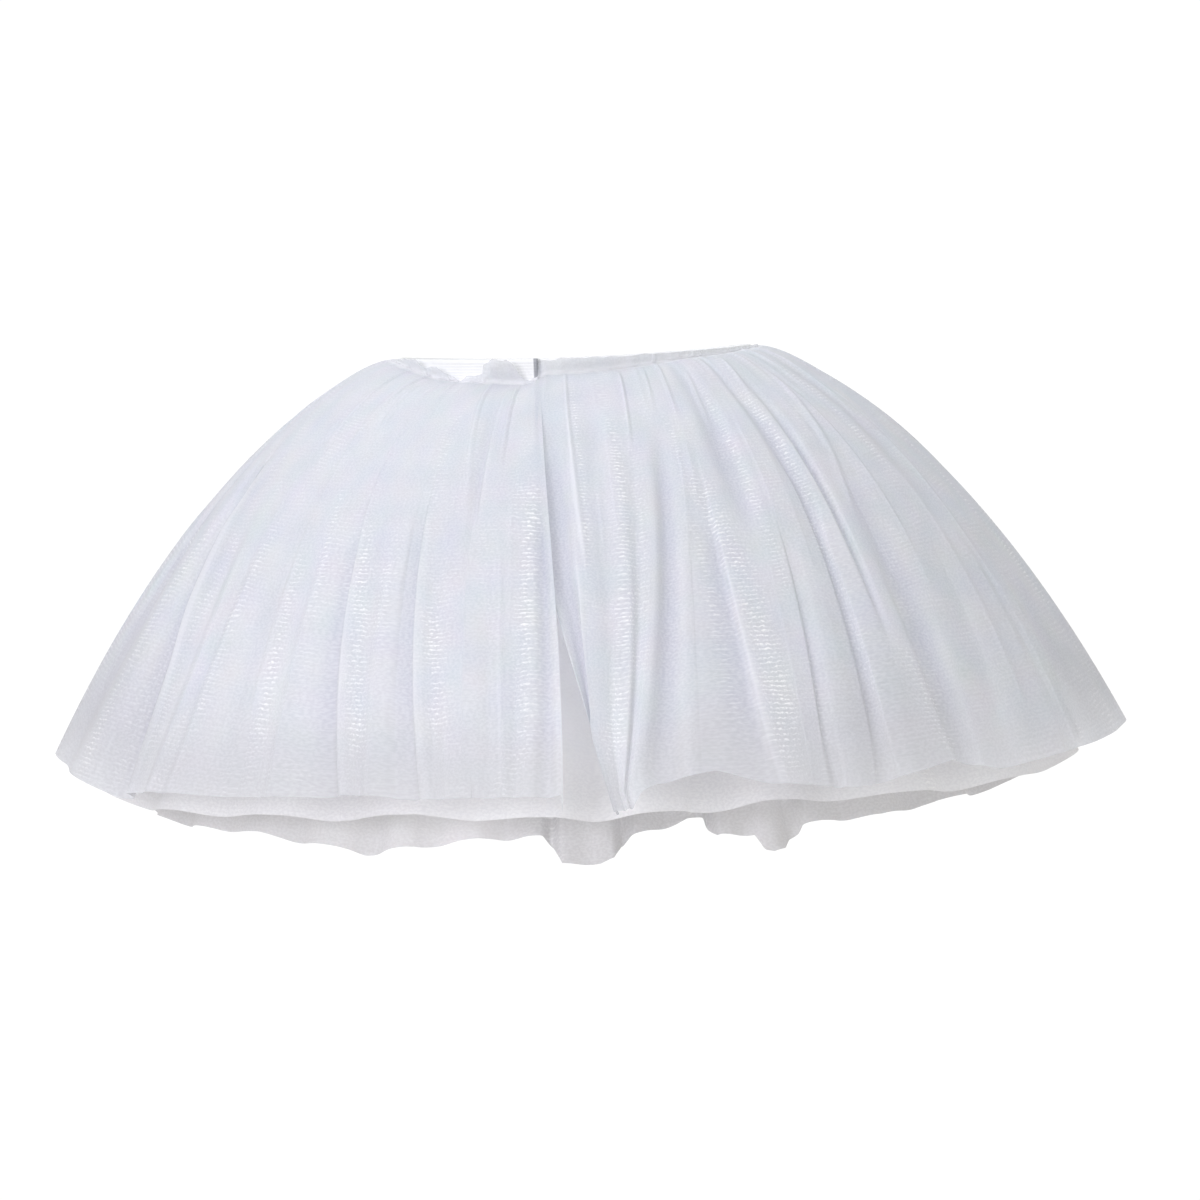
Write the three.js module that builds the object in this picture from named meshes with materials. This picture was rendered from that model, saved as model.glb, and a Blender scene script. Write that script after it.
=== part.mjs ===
// Tutu skirt: an elastic waistband and three gathered tulle layers, filled out as it is when worn.
// The frame: +Z up, the front towards -Y, the origin at the middle of the waistband at half its height.
import * as THREE from 'three';

// ---------- driving sizes, in millimetres and degrees ----------
const WAIST_HALF_WIDTH = 131;
const WAIST_HALF_DEPTH = 100;

const BAND_HEIGHT = 30;
const BAND_THICKNESS = 1.5;
const BAND_DIP_FRONT = 3;           // the waist rides lower at the front and the back than at the hips
const BAND_DIP_BACK = 6;
const BAND_JOIN_ANGLE = -11.4;      // where the outer end of the elastic stops
const BAND_LAP_ANGLE = 11.3;        // how far the inner end runs on beneath it
const BAND_STEP_ANGLE = 16;         // the stretch in which the inner end steps back out
const BAND_COLUMNS = 80;

const TULLE_THICKNESS = 1.4;
const SEAM_GAP = 0.3;
const HEADING_HEIGHT = 6;           // the raw edge that stands above the stitch line
const SEPARATION_POWER = 0.7;       // how soon the layers and their folds open out below the seam
const SLOPE_POWER = 0.22;           // how soon the cloth turns down after it springs out
const PROFILE_STEP = 2;             // step of the running sum along the cloth

// Where each row of the cloth lies, as a share of the length below the stitch line.
const ROW_SHARES = [0.03, 0.15, 0.38, 0.66, 1];

// The way the cloth falls. stitch is the height of its stitch line above the band's middle, out and
// down are its slopes below the horizontal at the seam and at a full length from it.
const FALL = {
  front: { stitch: -1, out: -20, down: 56 },
  side: { stitch: 9, out: -29, down: 63 },
};
const FULL_LENGTH = 400;

// Each row of these tables is one fold, from the slit at the front round by the right, the back
// and the left. waist, middle and hem are the angles of its ridge at those heights; dip is the
// depth of the hollow on its far side at the hem; lean is how near that hollow lies, as a share
// of the way to the next ridge; cut is the length of the cloth below the stitch line. A fold
// that hangs straight has one angle.
const TOP_SLIT = { waist: -10.7, middle: -4.2, hem: -2.7, dip: 8, lean: 0.5, cut: 386 };
const SLIT_GAP = 0.8;               // angle between its two edges while they hang together
const SLIT_SPREAD = 4.4;            // how much wider they part at the hem
const SLIT_START = 0.66;            // the share of the length at which they part
const TOP_FOLDS = [
  { waist: -2, middle: 1.6, hem: 4.0, dip: 9, lean: 0.5, cut: 392 },
  { waist: 10, middle: 8.2, hem: 6.2, dip: 24, lean: 0.3, cut: 388 },
  { waist: 21, middle: 16.3, hem: 11.5, dip: 13, lean: 0.6, cut: 374 },
  { waist: 29, middle: 23.3, hem: 22.0, dip: 15, lean: 0.7, cut: 384 },
  { waist: 37, middle: 32.2, hem: 28.4, dip: 24, lean: 0.25, cut: 390 },
  { waist: 46, middle: 38.8, hem: 35.5, dip: 16, lean: 0.5, cut: 384 },
  { waist: 53, middle: 45.5, hem: 41.3, dip: 21, lean: 0.3, cut: 381 },
  { waist: 62, middle: 54.0, hem: 49.0, dip: 14, lean: 0.5, cut: 391 },
  { waist: 72, middle: 66.0, hem: 62.0, dip: 17, lean: 0.5, cut: 388 },
  { waist: 84, middle: 81.0, hem: 79.0, dip: 20, lean: 0.4, cut: 392 },
  { waist: 94, middle: 93.0, hem: 93.0, dip: 15, lean: 0.5, cut: 390 },
  { waist: 104, middle: 105.0, hem: 106.0, dip: 24, lean: 0.3, cut: 386 },
  { waist: 117, middle: 118.0, hem: 117.0, dip: 14, lean: 0.6, cut: 384 },
  { waist: 131, middle: 131.0, hem: 132.0, dip: 18, lean: 0.5, cut: 388 },
  { waist: 142, middle: 144.0, hem: 145.0, dip: 25, lean: 0.7, cut: 382 },
  { waist: 158, middle: 157.0, hem: 158.0, dip: 15, lean: 0.5, cut: 386 },
  { waist: 169, middle: 168.0, hem: 169.0, dip: 20, lean: 0.3, cut: 390 },
  { waist: 182, middle: 183.0, hem: 184.0, dip: 16, lean: 0.5, cut: 384 },
  { waist: 195, middle: 197.0, hem: 197.0, dip: 25, lean: 0.6, cut: 381 },
  { waist: 209, middle: 208.0, hem: 209.0, dip: 14, lean: 0.5, cut: 387 },
  { waist: 220, middle: 221.0, hem: 223.0, dip: 20, lean: 0.25, cut: 389 },
  { waist: 234, middle: 236.0, hem: 236.0, dip: 16, lean: 0.5, cut: 384 },
  { waist: 247, middle: 247.0, hem: 249.0, dip: 24, lean: 0.7, cut: 387 },
  { waist: 262, middle: 261.0, hem: 262.0, dip: 17, lean: 0.5, cut: 391 },
  { waist: 274, middle: 275.0, hem: 275.0, dip: 18, lean: 0.5, cut: 390 },
  { waist: 284, middle: 287.0, hem: 288.5, dip: 22, lean: 0.75, cut: 389 },
  { waist: 293, middle: 299.0, hem: 306.0, dip: 18, lean: 0.5, cut: 392 },
  { waist: 311, middle: 312.0, hem: 313.5, dip: 12, lean: 0.5, cut: 387 },
  { waist: 326, middle: 323.5, hem: 323.0, dip: 16, lean: 0.5, cut: 385 },
  { waist: 332, middle: 329.0, hem: 334.5, dip: 15, lean: 0.7, cut: 383 },
  { waist: 337, middle: 335.8, hem: 343.0, dip: 12, lean: 0.4, cut: 384 },
  { waist: 342, middle: 345.0, hem: 348.5, dip: 10, lean: 0.5, cut: 384 },
  { waist: 347, middle: 352.8, hem: 355.2, dip: 6, lean: 0.5, cut: 384 },
];
const MIDDLE_FOLDS = [
  { angle: -5, dip: 15, lean: 0.5, cut: 384 },
  { angle: 7, dip: 20, lean: 0.5, cut: 382 },
  { angle: 22, dip: 14, lean: 0.4, cut: 378 },
  { angle: 38, dip: 19, lean: 0.5, cut: 380 },
  { angle: 55, dip: 16, lean: 0.6, cut: 386 },
  { angle: 73, dip: 21, lean: 0.5, cut: 392 },
  { angle: 90, dip: 15, lean: 0.5, cut: 394 },
  { angle: 107, dip: 18, lean: 0.4, cut: 391 },
  { angle: 123, dip: 22, lean: 0.6, cut: 386 },
  { angle: 141, dip: 14, lean: 0.5, cut: 383 },
  { angle: 156, dip: 19, lean: 0.5, cut: 385 },
  { angle: 173, dip: 16, lean: 0.4, cut: 382 },
  { angle: 189, dip: 22, lean: 0.5, cut: 384 },
  { angle: 207, dip: 15, lean: 0.6, cut: 381 },
  { angle: 222, dip: 20, lean: 0.5, cut: 385 },
  { angle: 240, dip: 17, lean: 0.5, cut: 388 },
  { angle: 256, dip: 21, lean: 0.4, cut: 392 },
  { angle: 272, dip: 15, lean: 0.5, cut: 394 },
  { angle: 288, dip: 19, lean: 0.6, cut: 393 },
  { angle: 305, dip: 16, lean: 0.5, cut: 388 },
  { angle: 321, dip: 20, lean: 0.5, cut: 382 },
  { angle: 338, dip: 14, lean: 0.5, cut: 380 },
];
const UNDER_FOLDS = [
  { angle: -3.2, dip: 5, lean: 0.5, cut: 399 },
  { angle: 2.4, dip: 13, lean: 0.5, cut: 399 },
  { angle: 5.2, dip: 17, lean: 0.4, cut: 380 },
  { angle: 13.8, dip: 11, lean: 0.5, cut: 372 },
  { angle: 16.2, dip: 4, lean: 0.5, cut: 387 },
  { angle: 22.8, dip: 13, lean: 0.6, cut: 401 },
  { angle: 28.0, dip: 15, lean: 0.5, cut: 386 },
  { angle: 38, dip: 17, lean: 0.5, cut: 385 },
  { angle: 51, dip: 18, lean: 0.4, cut: 386 },
  { angle: 66, dip: 16, lean: 0.5, cut: 386 },
  { angle: 82, dip: 19, lean: 0.6, cut: 388 },
  { angle: 99, dip: 14, lean: 0.5, cut: 386 },
  { angle: 117, dip: 20, lean: 0.5, cut: 390 },
  { angle: 135, dip: 17, lean: 0.4, cut: 387 },
  { angle: 154, dip: 20, lean: 0.5, cut: 384 },
  { angle: 172, dip: 15, lean: 0.6, cut: 388 },
  { angle: 190, dip: 19, lean: 0.5, cut: 392 },
  { angle: 207, dip: 16, lean: 0.5, cut: 386 },
  { angle: 226, dip: 20, lean: 0.4, cut: 383 },
  { angle: 244, dip: 14, lean: 0.5, cut: 388 },
  { angle: 263, dip: 19, lean: 0.6, cut: 386 },
  { angle: 281, dip: 16, lean: 0.5, cut: 392 },
  { angle: 299, dip: 20, lean: 0.5, cut: 388 },
  { angle: 315, dip: 15, lean: 0.5, cut: 387 },
  { angle: 331, dip: 17, lean: 0.5, cut: 393 },
  { angle: 343, dip: 14, lean: 0.5, cut: 384 },
  { angle: 354.2, dip: 12, lean: 0.5, cut: 379 },
];

// The layers from the outside in: separation is how far each hangs inside the outer one at the
// hem. The top layer is a strip whose ends part in a slit, the others are closed rings.
const LAYERS = [
  { name: 'top_layer', place: 0, separation: 0, folds: TOP_FOLDS, slit: TOP_SLIT },
  { name: 'middle_layer', place: 1, separation: 34, folds: MIDDLE_FOLDS },
  { name: 'under_layer', place: 2, separation: 66, folds: UNDER_FOLDS },
];

// ---------- finishes ----------
const elastic = new THREE.MeshStandardMaterial({ color: 0xf2f3f6, roughness: 0.5, metalness: 0 });
const tulle = new THREE.MeshStandardMaterial({ color: 0xe4e7f0, roughness: 0.55, metalness: 0 });

// ---------- the waist line and the fall of the cloth ----------
const radians = THREE.MathUtils.degToRad;
const mix = THREE.MathUtils.lerp;

// A point that lies outward of the waist ellipse: angle 0 is the front and 90 is the right.
function waistPoint(angle, outward, height) {
  const turn = radians(angle);
  const sine = Math.sin(turn);
  const cosine = Math.cos(turn);
  const normal = new THREE.Vector2(sine / WAIST_HALF_WIDTH, -cosine / WAIST_HALF_DEPTH).normalize();
  return [
    WAIST_HALF_WIDTH * sine + normal.x * outward,
    -WAIST_HALF_DEPTH * cosine + normal.y * outward,
    height,
  ];
}

// How far the middle of the band lies above or below the origin.
function waistHeight(angle) {
  const forward = Math.cos(radians(angle));
  return -(forward > 0 ? BAND_DIP_FRONT : BAND_DIP_BACK) * forward ** 2;
}

// The side profile at an angle, followed for a length of cloth from the stitch line.
function fallAt(angle, length) {
  const sideShare = Math.sin(radians(angle)) ** 2;
  const out = mix(FALL.front.out, FALL.side.out, sideShare);
  const down = mix(FALL.front.down, FALL.side.down, sideShare);
  const slopeAt = (travelled) => radians(out + (down - out) * (travelled / FULL_LENGTH) ** SLOPE_POWER);
  const steps = Math.max(1, Math.round(length / PROFILE_STEP));
  const step = length / steps;
  let run = 0;
  let height = waistHeight(angle) + mix(FALL.front.stitch, FALL.side.stitch, sideShare);
  for (let i = 0; i < steps; i += 1) {
    const slope = slopeAt((i + 0.5) * step);
    run += Math.cos(slope) * step;
    height -= Math.sin(slope) * step;
  }
  return { run, height, slope: slopeAt(length) };
}

// ---------- folds ----------
// The angle of a ridge at a share of the length, through its waist, middle and hem angles.
// The far edge of the slit keeps its gap, and then parts from the near one.
function ridgeAngle(fold, share) {
  const { waist = fold.angle, middle = fold.angle, hem = fold.angle, turned = 0 } = fold;
  const bend = middle - (waist + hem) / 2;
  const angle = turned + mix(waist, hem, share) + 4 * bend * share * (1 - share);
  if (!fold.parts) {
    return angle;
  }
  return angle + SLIT_GAP + SLIT_SPREAD * Math.max(0, (share - SLIT_START) / (1 - SLIT_START));
}

// The columns of a layer: each has an angle function, a depth at the hem and a cut length.
function columnsOf(layer) {
  const ridges = layer.folds.map((fold) => ({ ...fold }));
  if (layer.slit) {
    ridges.unshift({ ...layer.slit, parts: true });
  }
  ridges.push({ ...(layer.slit ?? ridges[0]), turned: 360 });
  const columns = [];
  ridges.slice(0, -1).forEach((ridge, i) => {
    const next = ridges[i + 1];
    const between = (share) => (rowShare) => mix(ridgeAngle(ridge, rowShare), ridgeAngle(next, rowShare), share);
    const cutAt = (share) => mix(ridge.cut, next.cut, share);
    const lean = ridge.lean;
    columns.push({ angleAt: between(0), depth: 0, cut: ridge.cut });
    columns.push({ angleAt: between(lean / 2), depth: ridge.dip / 2, cut: cutAt(lean / 2) });
    columns.push({ angleAt: between(lean), depth: ridge.dip, cut: cutAt(lean) });
    columns.push({ angleAt: between((1 + lean) / 2), depth: ridge.dip / 2, cut: cutAt((1 + lean) / 2) });
  });
  if (layer.slit) {
    const last = ridges.at(-1);
    columns.push({ angleAt: (rowShare) => ridgeAngle(last, rowShare), depth: 0, cut: last.cut });
  }
  return columns;
}

// ---------- solids ----------
// One closed wall from two grids of points with the same rows and columns.
function wallGeometry(outer, inner, closedRound) {
  const rowCount = outer.length;
  const columnCount = outer[0].length;
  const positions = [...outer, ...inner].flat(2);
  const at = (face, row, column) => (face * rowCount + row) * columnCount + (column % columnCount);
  const indices = [];
  const quad = (a, b, c, d) => indices.push(a, b, c, a, c, d);
  const lastColumn = closedRound ? columnCount : columnCount - 1;
  for (let column = 0; column < lastColumn; column += 1) {
    for (let row = 0; row < rowCount - 1; row += 1) {
      quad(at(0, row, column), at(0, row + 1, column), at(0, row + 1, column + 1), at(0, row, column + 1));
      quad(at(1, row, column), at(1, row, column + 1), at(1, row + 1, column + 1), at(1, row + 1, column));
    }
    const bottom = rowCount - 1;
    quad(at(0, 0, column), at(0, 0, column + 1), at(1, 0, column + 1), at(1, 0, column));
    quad(at(0, bottom, column), at(1, bottom, column), at(1, bottom, column + 1), at(0, bottom, column + 1));
  }
  if (!closedRound) {
    const end = columnCount - 1;
    for (let row = 0; row < rowCount - 1; row += 1) {
      quad(at(0, row, 0), at(1, row, 0), at(1, row + 1, 0), at(0, row + 1, 0));
      quad(at(0, row, end), at(0, row + 1, end), at(1, row + 1, end), at(1, row, end));
    }
  }
  const geometry = new THREE.BufferGeometry();
  geometry.setAttribute('position', new THREE.Float32BufferAttribute(positions, 3));
  geometry.setIndex(indices);
  geometry.computeVertexNormals();
  return geometry;
}

// The elastic is one strip. Its inner end runs on beneath the outer end, and steps back out beyond it.
function waistband() {
  const start = BAND_JOIN_ANGLE - BAND_LAP_ANGLE;
  const end = BAND_JOIN_ANGLE + 360;
  const tuck = BAND_THICKNESS + SEAM_GAP;
  const grid = (depth) => [1, -1].map((edge) => {
    const row = [];
    for (let column = 0; column <= BAND_COLUMNS; column += 1) {
      const angle = mix(start, end, column / BAND_COLUMNS);
      const stepped = THREE.MathUtils.smoothstep(angle, BAND_JOIN_ANGLE + 1, BAND_JOIN_ANGLE + BAND_STEP_ANGLE);
      const height = waistHeight(angle) + (edge * BAND_HEIGHT) / 2;
      row.push(waistPoint(angle, -tuck * (1 - stepped) - depth, height));
    }
    return row;
  });
  const mesh = new THREE.Mesh(wallGeometry(grid(0), grid(BAND_THICKNESS), false), elastic);
  mesh.name = 'waistband';
  return mesh;
}

// A tulle layer: sewn flat on the band at its heading, then springing out into its folds.
function tulleLayer(layer) {
  const columns = columnsOf(layer);
  const pitch = TULLE_THICKNESS + SEAM_GAP;
  const outside = LAYERS.length * pitch - TULLE_THICKNESS / 2;
  const grid = (offset) => {
    const inset = layer.place * pitch + offset;
    const stitched = (height, lowered) => columns.map(({ angleAt }) => {
      const { height: stitch } = fallAt(angleAt(0), 0);
      return waistPoint(angleAt(0), outside - inset, stitch + height - lowered);
    });
    const hanging = ROW_SHARES.map((share) => columns.map(({ angleAt, depth, cut }) => {
      const angle = angleAt(share);
      const { run, height, slope } = fallAt(angle, share * cut);
      const inward = inset + (layer.separation + depth) * share ** SEPARATION_POWER;
      return waistPoint(angle, outside + run - inward * Math.sin(slope), height - inward * Math.cos(slope));
    }));
    return [stitched(HEADING_HEIGHT, 0), stitched(0, inset), ...hanging];
  };
  const half = TULLE_THICKNESS / 2;
  const mesh = new THREE.Mesh(wallGeometry(grid(-half), grid(half), !layer.slit), tulle);
  mesh.name = layer.name;
  return mesh;
}

// ---------- the skirt ----------
const skirt = new THREE.Group();
skirt.add(waistband());
LAYERS.forEach((layer) => skirt.add(tulleLayer(layer)));

export default skirt;
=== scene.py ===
# %% [markdown]
# # A gathered tulle tutu, built round a fixed frame
# The real skirt is a strip of satin elastic with three strips of stiff shimmer tulle gathered on to it.
# Each strip springs out of its stitch line, falls in a bell, and breaks into long straight folds.
# A cloth simulation would give soft, rounded drapery. Tulle is stiff and almost weightless, so its folds
# are placed here, as rows of a table, and a formula carries each of them down the cloth.

import math

import bpy
import numpy as np
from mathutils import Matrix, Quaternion, Vector


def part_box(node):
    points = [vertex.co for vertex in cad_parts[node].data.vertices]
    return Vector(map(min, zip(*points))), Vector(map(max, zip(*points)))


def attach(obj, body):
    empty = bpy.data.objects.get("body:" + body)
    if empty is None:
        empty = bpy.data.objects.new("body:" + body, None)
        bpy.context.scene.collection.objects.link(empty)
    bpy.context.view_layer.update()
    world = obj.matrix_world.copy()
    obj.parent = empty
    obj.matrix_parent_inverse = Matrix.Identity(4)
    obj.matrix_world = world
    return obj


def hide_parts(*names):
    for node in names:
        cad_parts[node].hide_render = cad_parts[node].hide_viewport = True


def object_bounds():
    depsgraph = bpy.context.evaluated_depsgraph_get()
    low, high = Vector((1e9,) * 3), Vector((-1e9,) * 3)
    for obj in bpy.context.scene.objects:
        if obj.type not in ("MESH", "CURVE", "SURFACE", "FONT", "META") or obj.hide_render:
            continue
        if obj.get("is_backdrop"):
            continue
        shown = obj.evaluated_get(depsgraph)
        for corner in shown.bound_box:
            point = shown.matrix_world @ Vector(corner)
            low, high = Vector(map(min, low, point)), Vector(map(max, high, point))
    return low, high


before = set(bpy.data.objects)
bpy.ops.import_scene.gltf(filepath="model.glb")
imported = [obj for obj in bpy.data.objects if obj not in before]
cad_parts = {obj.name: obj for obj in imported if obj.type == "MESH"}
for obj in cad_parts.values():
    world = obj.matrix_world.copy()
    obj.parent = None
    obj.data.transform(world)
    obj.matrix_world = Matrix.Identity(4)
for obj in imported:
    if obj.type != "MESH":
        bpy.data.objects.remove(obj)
cad_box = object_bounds()
bpy.ops.object.select_all(action="DESELECT")
print("nodes in the frame:", ", ".join(sorted(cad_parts)))

# %% [markdown]
# ## The waist and the fall of the cloth
# Everything hangs from one line: an ellipse round the waist that rides a little lower at the front and
# the back than at the hips. Angles are in degrees, 0 at the front and 90 at the viewer's right, and
# lengths are in metres. The sizes come from the frame's waistband where it has them.

# %% The waist line
MM = 0.001
band_low, band_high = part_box("waistband")
WAIST_HALF_WIDTH = (band_high.x - band_low.x) / 2
WAIST_HALF_DEPTH = band_high.y
BAND_HEIGHT = 0.03
BAND_THICKNESS = 0.0015
BAND_DIP_FRONT = 0.003
BAND_DIP_BACK = 0.006


def smooth(low, high, x):
    """0 below low, 1 above high, and a soft step between."""
    t = np.clip((x - low) / (high - low), 0, 1)
    return t * t * (3 - 2 * t)


def turned(angle):
    """The same angle, between -180 and 180."""
    return (angle + 180) % 360 - 180


def waist_height(angle):
    """How far the middle of the band lies above or below the origin."""
    forward = np.cos(np.radians(angle))
    return -np.where(forward > 0, BAND_DIP_FRONT, BAND_DIP_BACK) * forward ** 2


def waist_point(angle, outward, height):
    """Points that lie outward of the waist ellipse, in an array with x, y and z last."""
    turn = np.radians(angle)
    sine, cosine = np.sin(turn), np.cos(turn)
    normal_x, normal_y = sine / WAIST_HALF_WIDTH, -cosine / WAIST_HALF_DEPTH
    long = np.hypot(normal_x, normal_y)
    x = WAIST_HALF_WIDTH * sine + normal_x / long * outward
    y = -WAIST_HALF_DEPTH * cosine + normal_y / long * outward
    return np.stack([x, y, height + 0 * x], axis=-1)


print(f"waist {2 * WAIST_HALF_WIDTH:.3f} m wide and {2 * WAIST_HALF_DEPTH:.3f} m deep")

# %% [markdown]
# Stiff tulle leaves its stitch line almost level, because the gathers prop it up, and then bends down
# under its own weight. So the slope of the cloth is a formula of the distance along it: it starts above
# the horizontal, turns quickly at first, and then settles. The front falls a little later than the sides.

# %% The slope of the cloth
FULL_LENGTH = 0.4
SLOPE_POWER = 0.22
#            stitch line, slope at the seam, slope at a full length
FALL_FRONT = (-0.001, -20, 56)
FALL_SIDE = (0.009, -29, 63)


def fall_value(column, angle):
    side_share = np.sin(np.radians(angle)) ** 2
    return FALL_FRONT[column] + (FALL_SIDE[column] - FALL_FRONT[column]) * side_share


def slope(angle, length):
    """The slope of the cloth below the horizontal, in radians."""
    out, down = fall_value(1, angle), fall_value(2, angle)
    return np.radians(out + (down - out) * (np.maximum(length, 0) / FULL_LENGTH) ** SLOPE_POWER)


print("slope at the hem:", round(math.degrees(slope(0, FULL_LENGTH))), "front,",
      round(math.degrees(slope(90, FULL_LENGTH))), "side")

# %% [markdown]
# ## The fold tables
# One row is one fold. `waist`, `middle` and `hem` are the angles that its ridge passes, so a fold can
# lean. Beyond the ridge comes a hollow: `dip` is its depth in millimetres and `lean` is where it lies on
# the way to the next ridge. `low` drops the ridge itself by some millimetres, and `over` throws it
# sideways by some degrees, so that it overlaps its neighbour with a crisp edge. A fold opens at `start`
# and dies away at `end`, as shares of the cloth's length, and 9 means that it runs on to the hem.

# %% The folds of the top layer
TOP_FOLDS = [
    # waist, middle, hem, dip, lean, low, over, start, end
    (-9.9, -4.4, -2.9, 6, 0.5, 4, 0, 0.2, 9),
    (-3, 0.6, 1, 2.5, 0.5, 0, -0.8, 0.1, 9),
    (7.5, 6.6, 3.2, 2.5, 0.5, 0, 0, 0.25, 9),
    (14.5, 10.3, 3.6, 5, 0.5, 0, 0.1, 0.26, 9),
    (24, 16.3, 11.4, 4, 0.75, 1, -0.4, 0.4, 9),
    (26.5, 21.4, 21.2, 5.5, 0.55, 0, -0.4, 0, 0.5),
    (35.5, 30, 24.8, 3, 0.6, 0, 0, 0.5, 9),
    (38.5, 33.4, 27.6, 4.5, 0.5, 0, 0, 0, 9),
    (44, 40.2, 36.3, 4, 0.5, 0, 0.2, 0.15, 0.7),
    (50.5, 42.7, 40.4, 4, 0.5, 0, 0, 0.4, 9),
    (57, 52, 45.5, 1.5, 0.5, 0.5, 0, 0.6, 9),
    (65, 58.5, 52, 2.5, 0.5, 0, 0, 0, 0.5),
    (73, 67, 62, 2, 0.5, 0.5, 0, 0.6, 9),
    (79, 74.5, 71, 2, 0.55, 0.5, 0.2, 0.5, 9),
    (84, 81, 79, 4, 0.45, 0, 0.2, 0.3, 9),
    (89.5, 87.5, 86.5, 4, 0.5, 3, 0, 0.4, 9),
    (94, 93, 93, 4, 0.5, 1, 0.4, 0.3, 9),
    (99, 99.5, 99, 3, 0.5, 2, 0, 0.5, 9),
    (104, 105, 106, 8, 0.4, 0, 0.7, 0, 9),
    (110.5, 111.5, 111.5, 4, 0.5, 4, 0.3, 0.25, 9),
    (117, 118, 117, 4, 0.6, 1, 0, 0.4, 9),
    (124.5, 124.5, 124, 3.5, 0.5, 2.5, -0.4, 0.35, 9),
    (131, 131, 132, 6, 0.5, 0, 0.4, 0.1, 9),
    (136.5, 137.5, 139, 5, 0.55, 3, 0.3, 0.4, 9),
    (142, 144, 145, 8, 0.6, 0, 0.5, 0, 9),
    (148, 150, 151, 5, 0.5, 4, 0, 0.3, 0.8),
    (154, 156, 158, 5, 0.5, 0, -0.7, 0.3, 9),
    (160.5, 162, 163, 4, 0.5, 2, 0.2, 0.5, 9),
    (167, 168, 169, 8, 0.4, 0, 0.8, 0, 9),
    (173.5, 175.5, 176, 5, 0.5, 3.5, 0.2, 0.3, 9),
    (180, 183, 184, 4, 0.5, 1, 0.3, 0.3, 9),
    (187.5, 190, 190.5, 3, 0.5, 1.5, 0, 0.45, 9),
    (195, 197, 197, 8, 0.55, 0, 0.4, 0.1, 9),
    (201, 202.5, 203.5, 5, 0.5, 3.5, 0.3, 0.35, 9),
    (207, 208, 209, 4, 0.5, 1, -0.6, 0.4, 9),
    (213.5, 214, 216, 3, 0.5, 1.5, 0, 0.5, 9),
    (220, 221, 223, 8, 0.4, 0, 0.9, 0, 9),
    (226, 228.5, 229.5, 5, 0.5, 3.5, 0.2, 0.3, 9),
    (232, 236, 236, 4, 0.5, 1, 0.3, 0.3, 9),
    (239, 241.5, 242.5, 3, 0.5, 2, 0, 0.5, 9),
    (246, 247, 249, 7, 0.6, 0, 0.4, 0, 9),
    (251, 254, 255.5, 4, 0.5, 2.5, -0.3, 0.35, 9),
    (256, 261, 262, 5, 0.5, 0, -0.7, 0.3, 9),
    (265, 274, 277, 6, 0.5, 1, 0, 0.2, 9),
    (272, 289.5, 292.5, 11, 0.8, 0, 0, 0.36, 9),
    (279.5, 297.5, 305.8, 2, 0.5, 0, -1.4, 0.4, 9),
    (290, 303.8, 307.6, 2.5, 0.5, 0, 0, 0.5, 9),
    (300, 308, 311.4, 2, 0.6, 0, 0, 0.5, 9),
    (310, 317.6, 322.7, 1.5, 0.5, 0.5, 0, 0.5, 9),
    (317, 320.7, 325, 3.5, 0.78, 0, 0, 0.42, 9),
    (321.5, 326.4, 334.2, 2, 0.5, 0, -0.7, 0.5, 9),
    (329, 332.4, 336.5, 3.5, 0.78, 0, 0, 0.4, 9),
    (332.5, 337, 343.4, 2, 0.5, 0, -0.8, 0.4, 9),
    (336.5, 341.5, 345.2, 2.5, 0.75, 0, 0.3, 0, 0.5),
    (341.5, 344.9, 348.4, 1.5, 0.5, 0, -0.5, 0.6, 9),
    (345, 348.6, 351.2, 1.5, 0.5, 0, 0, 0.7, 9),
    (348, 352.4, 353.4, 3, 0.6, 0, 0, 0.4, 9),
    (350.1, 355.6, 357.1, 0, 0.5, 0, 0, 0, 9),
]
print(len(TOP_FOLDS) - 1, "folds in the top layer")

# %% [markdown]
# The two layers beneath are plainer. They only show at the hem and through the slit, so their folds hang
# straight down, and a row needs an angle, a depth and a lean.

# %% The folds of the two inner layers
MIDDLE_FOLDS = [
    # angle, dip, lean
    (-5, 8, 0.5), (7, 10, 0.5), (22, 7, 0.4), (38, 9, 0.5), (55, 8, 0.6), (73, 10, 0.5), (90, 7, 0.5),
    (107, 9, 0.4), (123, 11, 0.6), (141, 7, 0.5), (156, 9, 0.5), (173, 8, 0.4), (189, 11, 0.5),
    (207, 7, 0.6), (222, 10, 0.5), (240, 8, 0.5), (256, 10, 0.4), (272, 7, 0.5), (288, 9, 0.6),
    (305, 8, 0.5), (321, 10, 0.5), (338, 7, 0.5),
]
UNDER_FOLDS = [
    # angle, dip, lean
    (-3.4, 3, 0.5), (2.2, 9, 0.5), (5.6, 7, 0.5), (13.6, 8, 0.4), (16.2, 3, 0.5), (21.6, 8, 0.6),
    (28, 7, 0.5), (38, 9, 0.5), (51, 9, 0.4), (66, 8, 0.5), (82, 10, 0.6), (99, 7, 0.5), (117, 10, 0.5),
    (135, 9, 0.4), (154, 10, 0.5), (172, 8, 0.6), (190, 10, 0.5), (207, 8, 0.5), (226, 10, 0.4),
    (244, 7, 0.5), (263, 10, 0.6), (281, 8, 0.5), (293, 9, 0.5), (304, 6, 0.4), (315, 8, 0.5),
    (326, 9, 0.6), (336, 6, 0.5), (345, 8, 0.5), (353.5, 7, 0.5),
]


def straight(folds):
    """Rows for folds that hang straight down, closed round the skirt, in the top layer's columns."""
    rows = [(angle, angle, angle, dip, lean, 0, 0, 0, 9) for angle, dip, lean in folds]
    return rows + [tuple(x + 360 if k < 3 else x for k, x in enumerate(rows[0]))]


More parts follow.
